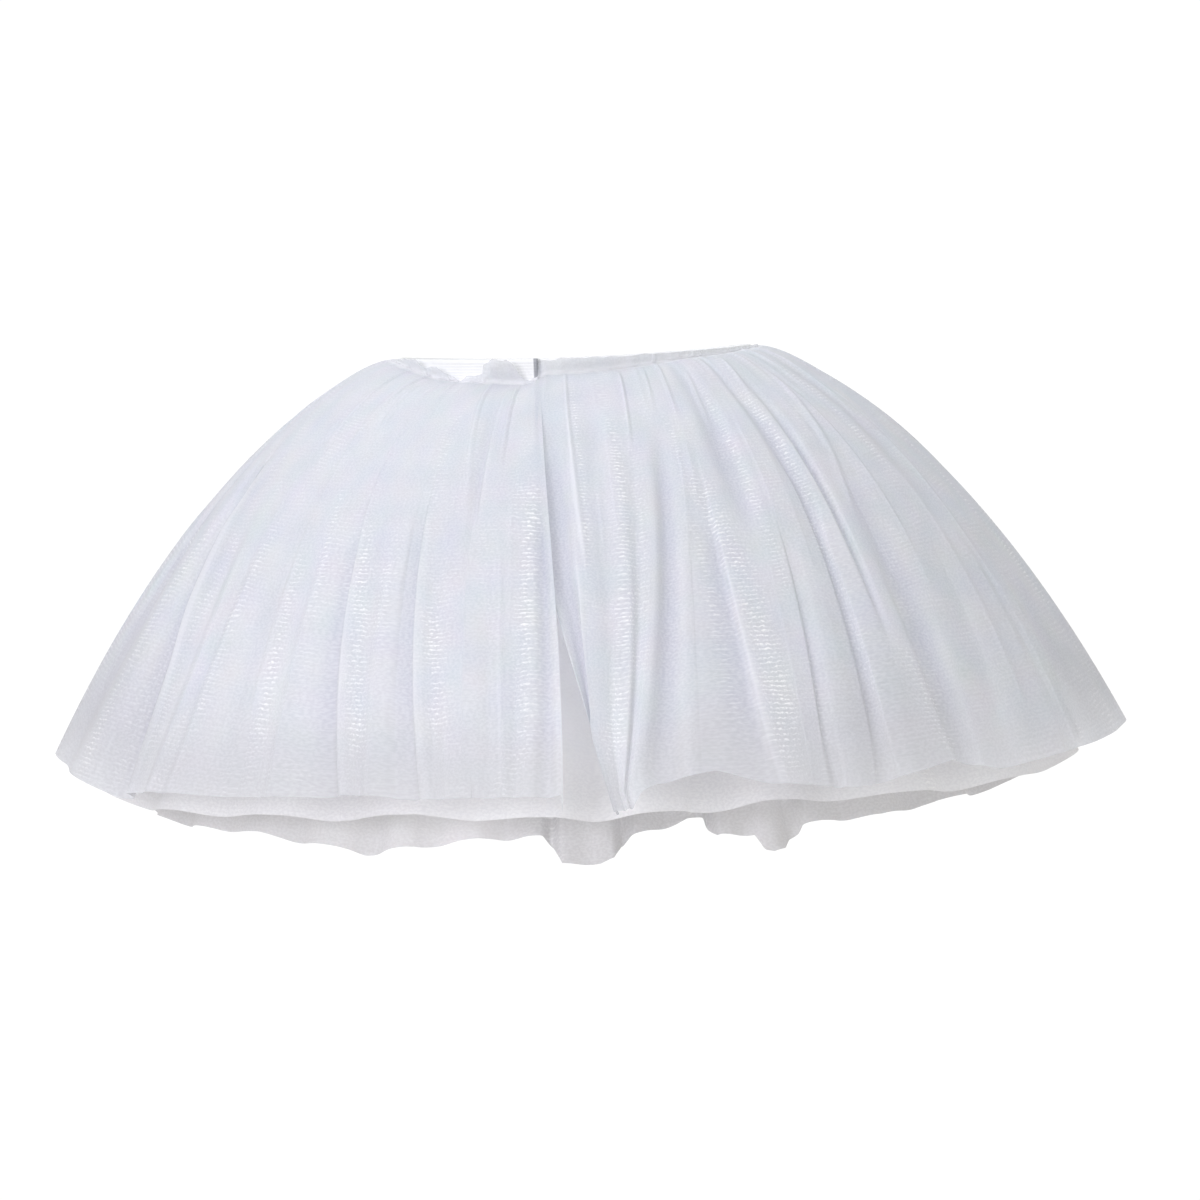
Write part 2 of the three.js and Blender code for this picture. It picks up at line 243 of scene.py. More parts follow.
print(len(MIDDLE_FOLDS), "and", len(UNDER_FOLDS), "folds in the inner layers")

# %% [markdown]
# ## The cut of each hem
# The strips are cut by hand, so a hem's length from the stitch line changes a little round the skirt.
# The lowest layer hangs down in two tongues, one under the slit and one to the right of it.

# %% Hem lengths
TOP_HEM = [
    # angle, length in millimetres
    (-2.9, 396), (1.5, 398), (4.4, 394), (5.3, 384), (7, 377), (13.5, 371), (20, 384), (28.3, 391),
    (36.8, 385), (41.3, 381), (47, 392), (61, 391), (76, 392), (90, 393), (125, 385), (180, 388),
    (230, 384), (265, 392), (284, 387), (301, 394), (308.5, 388), (322.7, 385), (334.5, 381),
    (343.2, 384), (357.1, 384),
]
MIDDLE_HEM = [(-20, 379), (0, 383), (20, 379), (45, 388), (61, 393), (90, 393), (130, 386), (180, 383),
              (230, 387), (270, 394), (300, 392), (315, 386), (340, 379)]
UNDER_HEM = [
    (-6, 379), (-4.7, 386), (-3.6, 400), (1, 401), (2.6, 397), (3.6, 386), (4.8, 381), (8.5, 376),
    (12, 371), (14, 372), (15.5, 385), (20.1, 388), (20.9, 400), (22, 402), (23.8, 399), (24.8, 392),
    (26.2, 389), (26.8, 384), (31.5, 383), (38, 386), (46, 384), (60, 387), (90, 388), (130, 389),
    (180, 386), (230, 390), (270, 387), (289, 393), (300, 391), (315, 386), (329, 391), (331, 393),
    (337, 388), (343, 383), (348, 379), (354, 379),
]


def around(table, column, angle):
    """A column of a table at an angle, straight between its rows and closed round the skirt."""
    at, value = np.array([(row[0], row[column]) for row in table], float).T
    once_round = (angle - at[0]) % 360 + at[0]
    return np.interp(once_round, np.append(at, at[0] + 360), np.append(value, value[0]))


lengths = [round(float(around(table, 1, 0))) for table in (TOP_HEM, MIDDLE_HEM, UNDER_HEM)]
print("at the front the three layers are", lengths, "mm long")

# %% [markdown]
# ## The free hems
# Where a layer hangs free of the ones behind it, its colour is painted darker and greyer towards the hem,
# as a painted shade. The top layer also lets the layers beneath show through there, except at the sides,
# where nothing hangs behind it. How far the painted shade reaches isn't the same all round, so that is a
# table too.

# %% Where the free hems are painted darker
TOP_HEM_SHADE = [
    # angle, how far above the hem the painted shade reaches, in millimetres, how strong it is
    (-75, 170, 1), (-60, 160, 1), (-53, 100, 0.9), (-37, 80, 0.9), (-10, 80, 0.95), (2, 60, 0.8),
    (10, 80, 0.7), (20, 90, 0.9), (28, 120, 1), (38, 130, 1), (48, 50, 0.4), (58, 60, 0.4),
    (68, 150, 1), (85, 120, 0.9), (95, 120, 0.9), (120, 90, 0.9), (240, 110, 0.9), (265, 120, 0.9),
]
MIDDLE_HEM_SHADE = [(-25, 90, 1), (-13, 60, 0.8), (-4, 60, 0.85), (5, 60, 0.8), (14, 60, 1), (30, 60, 0.8)]
UNDER_HEM_SHADE = [(-50, 90, 0.8), (-28, 70, 0.7), (-12, 60, 0.35), (-6, 90, 1), (5, 90, 1),
              (20, 90, 0.75)]
TOP_SHEER = [
    # angle, how sheer the hem is
    (-75, 0), (-60, 0.05), (-53, 0.2), (-37, 0.35), (-10, 0.35), (2, 0.25), (20, 0.35), (48, 0.3),
    (58, 0.15), (68, 0), (85, 0), (95, 0.05), (120, 0.3), (240, 0.3), (265, 0.05),
]
SHEER_REACH = 0.06


def hem_shade_amount(table, angle, above_hem):
    """How strongly each point is painted with the hem's shade: most at the hem, and less with the height
    above it.
    """
    return around(table, 2, angle) * (1 - smooth(0, around(table, 1, angle) * MM, above_hem))


def sheerness(angle, above_hem):
    """How sheer each point of the top layer is."""
    return around(TOP_SHEER, 1, angle) * (1 - smooth(0, SHEER_REACH, above_hem))


print("30 mm above the hem, the front is", round(float(hem_shade_amount(TOP_HEM_SHADE, 2, 0.03)), 2), "hem_shade")

# %% [markdown]
# ## From a table to a sheet of cloth
# A sheet is a grid: rows run round the skirt, columns run down the cloth. Each column keeps its place
# among the folds all the way down, so creases run straight, as they do in stiff net.

# %% Columns and rows
ROWS = 44
HEADING_ROWS = 4
EVEN_SHARE = 0.35          # of the columns, dealt out evenly among the folds; the rest goes by width
RIDGE_GAP = 0.7            # degrees that two ridges keep apart at least


def columns_of(folds, count):
    """For each column: the ridge before it, and how far it lies on the way to the next ridge."""
    middle = np.array([row[1] for row in folds])
    width = np.diff(middle)
    shares = EVEN_SHARE / len(width) + (1 - EVEN_SHARE) * width / 360
    counts = np.maximum(8, np.round(count * shares).astype(int))
    ridge = np.repeat(np.arange(len(width)), counts)
    along = np.concatenate([np.arange(n) / n for n in counts])
    return np.append(ridge, len(width) - 1), np.append(along, 1)


def ridge_angles(folds, share, slit):
    """The angle of each ridge at each share of the cloth's length."""
    waist, middle, hem = (np.array([row[k] for row in folds])[:, None] for k in range(3))
    bend = middle - (waist + hem) / 2
    angles = waist + (hem - waist) * share + 4 * bend * share * (1 - share)
    if slit:
        opened = np.maximum(0, (share - slit["start"]) / (1 - slit["start"]))
        lapped = 1 - smooth(slit["start"] - slit["fade"], slit["start"], share)
        angles[0] += slit["lap"] * lapped + slit["spread"] * opened
    for k in range(1, len(folds) - 1):
        angles[k] = np.maximum(angles[k], angles[k - 1] + RIDGE_GAP)
    return angles


print(ROWS, "rows down the cloth, and", HEADING_ROWS, "more for the heading")


# %% [markdown]
# ## Where the yarn shines
# Shimmer tulle is knitted with a flat, bright yarn. It flashes where the cloth turns towards the light,
# so it shows as ladders of short dashes that run down the folds. A glossy shader would put them wherever
# the camera stood. Here each ladder is a row of a table, and its strength is stored on the mesh, so that
# the finish paints the dashes in as painted highlights. The hidden sides get ladders at seeded random
# places.

# %% Where the shimmer yarn catches the light
GLINTS = [
    # waist, middle, hem, half width, start, end, strength
    (-72.1, -69.6, -67.1, 1.5, 0.48, 0.99, 0.9),
    (-64, -59.5, -54, 1.2, 0.48, 0.95, 0.45),
    (-55.8, -51.9, -47.9, 1.3, 0.46, 0.9, 0.7),
    (-49.8, -40.1, -30.4, 0.8, 0.36, 0.64, 0.7),
    (-49.5, -43.5, -37.5, 0.9, 0.5, 0.92, 0.7),
    (-42.2, -33.2, -24.2, 1.2, 0.46, 0.94, 0.9),
    (-36, -29, -22, 1.2, 0.5, 0.75, 0.4),
    (-29, -22, -15, 1, 0.62, 0.9, 0.9),
    (-27, -24, -21, 1.3, 0.18, 0.52, 0.3),
    (-8.1, -7.5, -6.8, 1.3, 0.36, 0.92, 1),
    (-12, -10, -9, 1.3, 0.3, 0.5, 0.5),
    (-1.8, 1, -2.1, 0.5, 0.06, 0.6, 0.9),
    (6.6, 6.6, 1.1, 1.1, 0.16, 0.92, 1),
    (11.5, 9, 3, 1.6, 0.15, 0.8, 0.3),
    (19.5, 18, 14, 0.7, 0.18, 0.38, 0.7),
    (12.6, 21.4, 21.2, 1.7, 0.34, 0.98, 1),
    (18.7, 17.5, 16.5, 1, 0.46, 0.92, 0.5),
    (33.5, 28.5, 28, 0.9, 0.1, 0.64, 0.8),
    (41.9, 38.5, 33, 1.2, 0.14, 0.5, 0.85),
    (38, 36.5, 34, 0.8, 0.44, 0.64, 0.6),
    (63.9, 58.1, 52.3, 1, 0.08, 0.38, 0.6),
    (36, 35.5, 35, 0.9, 0.66, 0.86, 0.5),
    (41.5, 41, 41, 1.2, 0.76, 0.98, 0.45),
]
PLAIN_GLINTS = 60
HIDDEN_SIDES = (75, 283)
ALL_ROUND = (0, 354)


def glint_strength(angle, share, table, seed):
    """How strongly the yarn shines at each point: rows of the table, and more on the hidden sides."""
    draw = np.random.default_rng(seed)
    rows = list(table)
    for centre in np.linspace(*(HIDDEN_SIDES if table else ALL_ROUND), PLAIN_GLINTS):
        at = centre + draw.uniform(-1.5, 1.5)
        start = draw.uniform(0.1, 0.6)
        rows.append((at, at, at, draw.uniform(0.7, 1.6), start, start + draw.uniform(0.2, 0.5),
                     draw.uniform(0.2, 1)))
    shining = np.zeros_like(angle)
    for waist, middle, hem, half, start, end, strength in rows:
        centre = waist * (1 - share) * (1 - 2 * share) + middle * 4 * share * (1 - share)
        centre = centre + hem * share * (2 * share - 1)
        off = turned(angle - centre[:, None])
        reach = smooth(start - 0.05, start + 0.08, share) * (1 - smooth(end - 0.1, end + 0.04, share))
        shining = np.maximum(shining, strength * np.exp(-(off / half) ** 2) * reach[:, None])
    return shining


print(len(GLINTS), "ladders in front, and", PLAIN_GLINTS, "at random places behind")


# %% [markdown]
# ## Small creases
# Between the main folds, gathered net has many fine creases. They could come from a noise texture, but a
# crease in net is long, straight and sharp. So each one is a narrow tent of its own, a millimetre or so
# tall, which starts and dies away at random lengths. The few that stand out, where the gathers pinch the
# cloth below the waist, are placed in a table.

# %% Small creases
CREASE_START = 0.04


def creases(place, length, seed, count, width, height, throw, reach):
    """Raised creases at random places: how far each point rises, and how far it is thrown sideways."""
    draw = np.random.default_rng(seed)
    rise = np.zeros((len(length), place.shape[-1]))
    thrown = np.zeros_like(rise)
    centres = (np.arange(count) + draw.uniform(-0.4, 0.4, count)) * 360 / count - 10
    for centre in centres:
        half = draw.uniform(*width)
        tall = draw.uniform(*height) * MM
        lean = draw.uniform(*throw) * draw.choice((-1, 1)) * half
        start, end = draw.uniform(*reach[0]), draw.uniform(*reach[1])
        fade = draw.uniform(0.04, 0.12)
        off = turned(place - centre)
        near = np.flatnonzero(np.abs(off) < half)
        if near.size == 0:
            continue
        bump = (1 - np.abs(off[near]) / half) ** 1.5
        grow = smooth(start, start + CREASE_START, length) * (1 - smooth(end - fade, end, length))
        shape = bump * grow[:, None]
        rise[:, near] += tall * shape
        thrown[:, near] += lean * shape
    return rise, thrown


print("each crease grows in over its first", round(CREASE_START / MM), "mm")

# %% Pleats below the waist
PLEATS = [
    # angle at the top and at the foot, start and end as shares of the cloth's length, height in
    # millimetres, half width in degrees
    (-25.2, -18.5, 0, 0.4, 1.2, 0.85), (-16.2, -13.8, 0.02, 0.34, 1.5, 0.8),
    (-3, 1, 0, 0.58, 1.5, 0.8), (12.6, 9.8, 0.02, 0.3, 1.7, 0.8),
    (20, 17, 0, 0.2, 1.1, 0.85), (31.5, 27.5, 0.04, 0.26, 1.3, 1),
    (47, 41, 0, 0.2, 1.3, 0.85), (56, 44, 0.1, 0.52, 1.6, 1),
    (-38, -33, 0, 0.2, 1, 0.85), (-47.5, -41, 0.05, 0.3, 1.1, 1),
    (-60, -52, 0, 0.34, 1.3, 1), (71, 66, 0.03, 0.3, 1.4, 1),
    (98, 99.5, 0, 0.4, 1.4, 0.85), (127, 128.5, 0.03, 0.24, 1.6, 0.85),
    (151, 152, 0, 0.44, 1.3, 0.85), (177, 179, 0.03, 0.22, 1.8, 0.85),
    (204, 204.5, 0.02, 0.38, 1.3, 0.85), (235, 237, 0, 0.42, 1.5, 0.85),
    (259, 263, 0.03, 0.26, 1.3, 1),
]


def placed_pleats(angle, share):
    """How far the pleats of the table raise each point."""
    rise = np.zeros_like(angle)
    for top, foot, start, end, tall, half in PLEATS:
        line = top + (foot - top) * (share - start) / (end - start)
        off = turned(angle - line[:, None])
        grow = smooth(start - 0.01, start + 0.04, share) * (1 - smooth(end - 0.12, end, share))
        rise += tall * MM * np.maximum(0, 1 - np.abs(off) / half) * grow[:, None]
    return rise


print(len(PLEATS), "pleats placed by hand")


# %% [markdown]
# ## The stitch line
# The cloth is sewn a few millimetres outside the elastic. The line of stitches is drawn down in front and
# rides up at the hips, as a table says. That dies away within the first 60 mm of cloth.

# %% Where the stitch line runs
WALL_PITCH = 0.0017
SEAM_OUTSIDE = 0.0044
SEAM_FADE = 0.06
SEAM_LIFT = [
    # angle, millimetres
    (-180, -2), (-130, 0), (-100, 4), (-78, 4), (-60, 0), (-45, -4), (-15, -3), (-8, 4), (10, 5),
    (35, 7), (55, 5), (80, 4), (110, 4), (140, 0), (180, -2),
]


def seam_lift(angle, length):
    """How far the cloth stands above the plain stitch line."""
    return np.interp(turned(angle), *np.array(SEAM_LIFT).T) * MM * (1 - smooth(0, SEAM_FADE, length))


print("the stitch line lies", SEAM_OUTSIDE / MM, "mm outside the elastic")

# %% [markdown]
# ## The shape of the folds
# A fold is a smooth wave between two ridges, deepest at its `lean`. The `over` column then pushes the
# ridge sideways, which makes the crisp, overlapping edges that stiff cloth has. Each result is an array
# with a row for each ring of points and a column for each thread of cloth.

# %% The shape of the folds
HOLLOW_SHARPNESS = 1.4
FOLD_GROWTH = 0.15         # the smaller, the nearer to the stitch line a fold gets its depth
FOLD_OPENING = (-0.12, 0.18)           # before and after its start, as shares of the length
FOLD_CLOSING = (-0.2, 0.12)
ROLL_SHARES = (0.1, 0.45)  # where a ridge begins to lap over its neighbour, and where it does so fully


def fold_shape(folds, count, share, slit):
    """Every point's angle and depth below the ridges, and each column's mean angle."""
    ridge, along = columns_of(folds, count)
    ridges = ridge_angles(folds, share, slit)
    dip, lean, low, over, start, end = np.array(folds, float)[:, 3:].T
    opening, closing = (
        smooth(at + first, at + last, share[:, None])
        for at, (first, last) in ((start, FOLD_OPENING), (end, FOLD_CLOSING)))
    opened = (np.where(start > 0, opening, 1) * (1 - closing))[:, ridge]
    this_lean = lean[ridge]
    past = along >= this_lean
    wave = np.where(past, (along - this_lean) / (1 - this_lean), 1 - along / this_lean)
    rise = 0.5 - 0.5 * np.cos(np.pi * wave)
    owner = np.where(past, ridge + 1, ridge)
    sunk = low[owner] * MM
    depth = sunk + (dip[ridge] * MM - sunk) * (1 - rise) ** HOLLOW_SHARPNESS
    deep = (1 + FOLD_GROWTH) * share[:, None] / (share[:, None] + FOLD_GROWTH) * opened
    roll = over[owner][:, None] * (rise ** 2)[:, None] * smooth(*ROLL_SHARES, share)
    angle = (ridges[ridge] * (1 - along)[:, None] + ridges[ridge + 1] * along[:, None] + roll).T
    mean = np.array([row[:3] for row in folds]).mean(axis=1)
    return angle, depth * deep, mean[ridge] * (1 - along) + mean[ridge + 1] * along


deepest = max(TOP_FOLDS, key=lambda row: row[3])
print("the deepest fold of the top layer is", deepest[3], "mm deep, beyond", deepest[1], "degrees")


# %% All the small creases of one sheet
SMALL_CREASES = [
    # how many, half width in degrees, height in millimetres, throw, where they start and end in metres
    (110, (0.8, 2.4), (0.3, 1.5), (0.1, 0.9), ((0.02, 0.25), (0.14, 0.5))),
    (70, (1, 2.6), (0.3, 1.2), (0, 0), ((0.05, 0.3), (0.2, 0.5))),
    (130, (1.2, 2.4), (0.4, 1.6), (0, 0), ((-0.06, -0.05), (0.03, 0.12))),
]


def small_creases(mean_angle, share, seed):
    """How far points rise by creases and hollows, and by the gathers, and how far creases are thrown."""
    (raised, thrown), (hollow, _), (gathers, _) = (
        creases(mean_angle, share * FULL_LENGTH, seed + k, *row) for k, row in enumerate(SMALL_CREASES, 1))
    return raised - hollow, gathers, thrown


print(sum(row[0] for row in SMALL_CREASES), "small creases on each sheet")


# %% [markdown]
# ## The hang of the cloth
# Each column now walks down its slope in small steps, and the distances it covers outward and downward
# add up. The folds are added square to the slope. The heading, the raw edge above the stitches, stands
# up against the band.

# %% The hang of the cloth
HEADING_FLARE = 0.25


def hang(angle, length, outward):
    """Points of the cloth below the stitch line, and the height of the stitch line itself."""
    fall = slope(angle, length)
    step_length = np.diff(length, axis=0)
    middle = slope((angle[1:] + angle[:-1]) / 2, (length[1:] + length[:-1]) / 2)
    zero = np.zeros((1, angle.shape[1]))
    run = np.vstack([zero, np.cumsum(np.cos(middle) * step_length, axis=0)])
    drop = np.vstack([zero, np.cumsum(np.sin(middle) * step_length, axis=0)])
    stitch = waist_height(angle) + fall_value(0, angle) + seam_lift(angle, length)
    height = stitch - drop + outward * np.cos(fall)
    points = waist_point(angle, SEAM_OUTSIDE + run + outward * np.sin(fall), height)
    return points, stitch[0]


def heading_above(angle, seam, height_share, place, gathers):
    """Points of the raw edge above the stitch line, from the top down, and how tall it stands."""
    tall = height_share * (waist_height(angle) + BAND_HEIGHT / 2 - seam)
    up = (np.arange(HEADING_ROWS, 0, -1) / HEADING_ROWS)[:, None]
    lift = SEAM_OUTSIDE - place * WALL_PITCH + gathers * (1 - 0.3 * up) + tall * HEADING_FLARE * up ** 1.5
    return waist_point(angle, lift, seam + tall * up), tall * up


trial, _ = hang(np.zeros((ROWS, 1)), np.linspace(0, FULL_LENGTH, ROWS)[:, None], 0)
print("with no folds, the front of the hem hangs at", [round(x, 3) for x in trial[-1, 0].tolist()])


# %% [markdown]
# ## Marks
# The finish needs to know where the cloth stands proud and where it sinks. Comparing each point with the
# mean of its row nearby gives that, once over a few columns for thin bright edges, and once over many for
# broad hollows. The finish paints highlights on those edges and shade in those hollows.

# %% Marks
def with_heading(values):
    """The values below the stitch line, with the first row repeated for the heading above it."""
    return np.concatenate([np.repeat(values[:1], HEADING_ROWS, axis=0), values])


def standing(relief, reach, full):
    """How far each point stands above the mean of its row nearby, from -1 in a hollow to 1 on a ridge."""
    columns = relief.shape[1]
    padded = np.pad(relief, ((0, 0), (reach, reach)), mode="edge")
    total = np.cumsum(np.pad(padded, ((0, 0), (1, 0))), axis=1)
    mean = (total[:, 2 * reach + 1:] - total[:, :columns]) / (2 * reach + 1)
    return np.clip((relief - mean) / full, -1, 1)


print("a single raised thread reads as", round(float(standing(np.eye(1, 41, 20) * MM, 10, MM)[0, 20]), 2))


# %% [markdown]
# ## One whole sheet
# Everything above now comes together: the folds, the creases and the pleats say how far each point stands
# out, and the hang says where that is. Layers further in lie closer to the legs, more so towards the hem.

# %% One whole sheet as arrays
ROW_SPACING = 1.35         # above 1, the rows lie closer together near the stitch line
SEAM_CREASES = 0.35        # how tall a crease is at the stitch line, as a share of its full height
FULL_CREASES = 0.2         # the share of the length from which it has that height
SEPARATION_POWER = 0.7
# These set the ridge mark, where a highlight is painted, and the hollow mark, where shade is painted.
EDGE_COLUMNS, EDGE_HEIGHT = 10, 0.0015
HOLLOW_COLUMNS, HOLLOW_DEPTH = 60, 0.003


def distance_along(line):
    """How far along a line each of its points lies."""
    steps = np.linalg.norm(np.diff(line, axis=0), axis=1)
    return np.concatenate([[0], np.cumsum(steps)])


def tulle_grid(folds, hem, hem_shading, count, place, separation, seed, heading, slit, lively):
    """Points of a gathered sheet, its distances across and down, and the marks that its finish reads."""
    share = (np.arange(ROWS) / (ROWS - 1)) ** ROW_SPACING
    angle, depth, mean_angle = fold_shape(folds, count, share, slit)
    draw = np.random.default_rng(seed)
    creased, gathers, thrown = small_creases(mean_angle, share, seed)
    inward = place * WALL_PITCH + separation * share[:, None] ** SEPARATION_POWER + depth
    grown = np.minimum(1, share[:, None] / FULL_CREASES)
    outward = -inward + lively * (creased * (SEAM_CREASES + (1 - SEAM_CREASES) * grown) + gathers)
    angle = angle + lively * thrown * grown
    if slit:
        outward = outward + placed_pleats(angle, share)
    length = share[:, None] * around(hem, 1, angle[-1]) * MM
    body, seam = hang(angle, length, outward)
    edge, tall = heading_above(angle[0], seam, heading(angle[0], draw), place, gathers[0])
    across = distance_along(body[ROWS // 2])
    above_hem = length[-1] - length
    # These marks say where the finish paints highlights on ridges, shade in hollows, and a darker tone at
    # the hems.
    marks = {"ridge": standing(outward, EDGE_COLUMNS, EDGE_HEIGHT),
             "hollow": -standing(outward, HOLLOW_COLUMNS, HOLLOW_DEPTH),
             "glint": glint_strength(angle, share, GLINTS if slit else (), seed + 5),
             "hem_shade": hem_shade_amount(hem_shading, angle[-1], above_hem)}
    if slit:
        marks["sheer"] = sheerness(angle[-1], above_hem)
    marks = {title: with_heading(values) for title, values in marks.items()}
    return np.concatenate([edge, body]), across, np.concatenate([-tall, length]), marks


print("a column has", ROWS + HEADING_ROWS, "points")


# %% [markdown]
# ## From arrays to a mesh
# The arrays become a mesh of four-sided faces, with the marks as attributes and a UV map in metres of
# flat cloth, so a pattern keeps its true size on every piece.

# %% From arrays to a mesh
def sheet_object(name, points, across, flat_v, marks, closed):
    """A mesh from a grid of points, with its marks and its UV map."""
    rows, columns = points.shape[:2]
    if closed:
        points, columns = points[:, :-1], columns - 1
    last_column = columns if closed else columns - 1
    row, column = np.meshgrid(np.arange(rows - 1), np.arange(last_column), indexing="ij")
    corners = np.array([(0, 0), (1, 0), (1, 1), (0, 1)])
    face_rows = row[..., None] + corners[:, 0]
    face_columns = column[..., None] + corners[:, 1]
    faces = (face_rows * columns + face_columns % columns).reshape(-1, 4)
    mesh = bpy.data.meshes.new(name)
    mesh.from_pydata(points.reshape(-1, 3).tolist(), [], faces.tolist())
    uv = mesh.uv_layers.new(name="cloth")
    flat = np.stack([across[face_columns], flat_v[face_rows, face_columns]], axis=-1)
    uv.data.foreach_set("uv", flat.astype(np.float32).ravel())
    for title, values in marks.items():
        stored = mesh.attributes.new(title, "FLOAT", "POINT")
        stored.data.foreach_set("value", values[:, :columns].astype(np.float32).ravel())
    mesh.polygons.foreach_set("use_smooth", np.ones(len(mesh.polygons), bool))
    mesh.update()
    made = bpy.data.objects.new(name, mesh)
    bpy.context.scene.collection.objects.link(made)
    return made


def mesh_area(made):
    return sum(face.area for face in made.data.polygons)


print("each layer's mesh has", ROWS + HEADING_ROWS - 1, "rings of faces")


# %% [markdown]
# ## The heading
# Above the stitches a raw edge of net is left. On the wearer's right of the join it is torn into low
# scallops that leave the elastic bare, and on the other side it covers the elastic nearly to the top. So
# its height is a table too, with a little ragged wave on it. The inner layers are trimmed short.

# %% Headings
TOP_HEADING = [
    # angle, share of the way from the stitch line to the top of the band
    (-180, 0.45), (-110, 0.5), (-85, 0.9), (-72, 1.04), (-57, 1.03), (-56, 0.9), (-54, 0.55), (-51, 0.55),
    (-46.4, 0.7), (-43.2, 0.38), (-38, 0.03), (-35, 0.28), (-31.3, 0.36), (-28.9, 0.42), (-28.2, 0.8),
    (-26.5, 0.9), (-25, 1.02), (-20.5, 1), (-18.5, 0.75), (-16.5, 0.3), (-14, 0.1), (-11.4, 0.02),
    (-10.4, 0.9), (-4, 0.96), (20, 0.95), (40, 0.97), (62, 0.95), (78, 0.95), (90, 0.9), (110, 0.5),
    (180, 0.45),
]
RAGGED_WAVES = (17, 29, 47, 71)
RAGGED_HEIGHT = 0.02
TRIMMED_HEIGHT = 0.15


def top_heading(angle, draw):
    """The height of the top layer's heading, as a share of the way to the top of the band."""
    base = np.interp(turned(angle), *np.array(TOP_HEADING).T)
    phases = draw.uniform(0, 2 * np.pi, len(RAGGED_WAVES))
    ragged = sum(np.sin(np.radians(angle) * k + p) for k, p in zip(RAGGED_WAVES, phases))
    return np.maximum(RAGGED_HEIGHT, base + ragged * RAGGED_HEIGHT)


def inner_heading(angle, draw):
    """The same for the inner layers: one low height all round."""
    return TRIMMED_HEIGHT + 0 * angle


bare = [row[0] for row in TOP_HEADING if row[1] < 0.15]
print("the elastic shows most at", bare, "degrees")


# %% [markdown]
# ## The three layers
# The top layer is an open strip: its two ends meet at the front, lap a little at the waist, and part low
# down to make the slit. The two inner layers are closed rings, set further in towards the hem.

# %% Build the three layers
SLIT = {"lap": -1.6, "spread": 5.4, "start": 0.62, "fade": 0.08}
LAYERS = [
    # name, folds, hem and hem shading, closed, columns, place, separation, seed, heading, slit, lively
    ("tulle_top", TOP_FOLDS, TOP_HEM, TOP_HEM_SHADE, False,
     1990, 0, 0, 11, top_heading, SLIT, 0.7),
    ("tulle_middle", straight(MIDDLE_FOLDS), MIDDLE_HEM, MIDDLE_HEM_SHADE, True,
     1150, 1, 0.034, 23, inner_heading, None, 0.5),
    ("tulle_under", straight(UNDER_FOLDS), UNDER_HEM, UNDER_HEM_SHADE, True,
     1300, 2, 0.066, 37, inner_heading, None, 0.35),
]
tulle = {}
for name, folds, hem, hem_shading, closed, *rest in LAYERS:
    points, across, down, marks = tulle_grid(folds, hem, hem_shading, *rest)
    tulle[name] = sheet_object(name, points, across, down, marks, closed)
    print(name, len(tulle[name].data.polygons), "faces,", round(mesh_area(tulle[name]), 3), "m2,",
          round(distance_along(points[-1])[-1], 3), "m round the hem")

# %% [markdown]
# ## The elastic band
# The band is one strip of satin elastic whose cut end laps over its own start. A ring with a seam drawn
# on it would look closed, so the strip is built as it is: it starts behind its end, steps out from under
# it, and goes once round. It is made flat and thin, and a Solidify modifier gives it its thickness.

# %% The elastic band
BAND_JOIN_ANGLE = -11.4
BAND_LAP_ANGLE = 11.3
BAND_STEP_ANGLE = 16
BAND_STEP_START = 2.5
BAND_FLARE_ANGLE = 5
BAND_GAP = 0.0009
BAND_COLUMNS = 720
BAND_ROWS = 17


def band_grid():
    """Points of the strip, before it has a thickness."""
    start, end = BAND_JOIN_ANGLE - BAND_LAP_ANGLE, BAND_JOIN_ANGLE + 360
    angle = np.linspace(start, end, BAND_COLUMNS)[None, :] + np.zeros((BAND_ROWS, 1))
    tuck = BAND_THICKNESS + BAND_GAP
    stepped = smooth(BAND_JOIN_ANGLE + BAND_STEP_START, BAND_JOIN_ANGLE + BAND_STEP_ANGLE, angle)
    flare = BAND_GAP * smooth(end - BAND_FLARE_ANGLE, end, angle)
    rise = np.linspace(0.5, -0.5, BAND_ROWS)[:, None]
    return waist_point(angle, -tuck * (1 - stepped) + flare, waist_height(angle) + rise * BAND_HEIGHT)


band_points = band_grid()
band_across = distance_along(band_points[0])
band_down = np.linspace(0, BAND_HEIGHT, BAND_ROWS)[:, None] + np.zeros((1, BAND_COLUMNS))
band = sheet_object("elastic_band", band_points, band_across, band_down, {}, False)
BAND_LENGTH = float(band_across[-1])
thick = band.modifiers.new("wall", "SOLIDIFY")
thick.thickness = BAND_THICKNESS
thick.offset = -1
bpy.context.view_layer.objects.active = band
bpy.ops.object.modifier_apply(modifier="wall")
print("band", round(BAND_LENGTH, 3), "m long, area of both faces", round(mesh_area(band), 4))

# %% [markdown]
# ## Shader maths as Python
# A finish is a network of nodes, and long sums are hard to read as nodes. This class stands for one
# socket: adding or multiplying two of them puts in a Math node, and `add` puts in any other node.

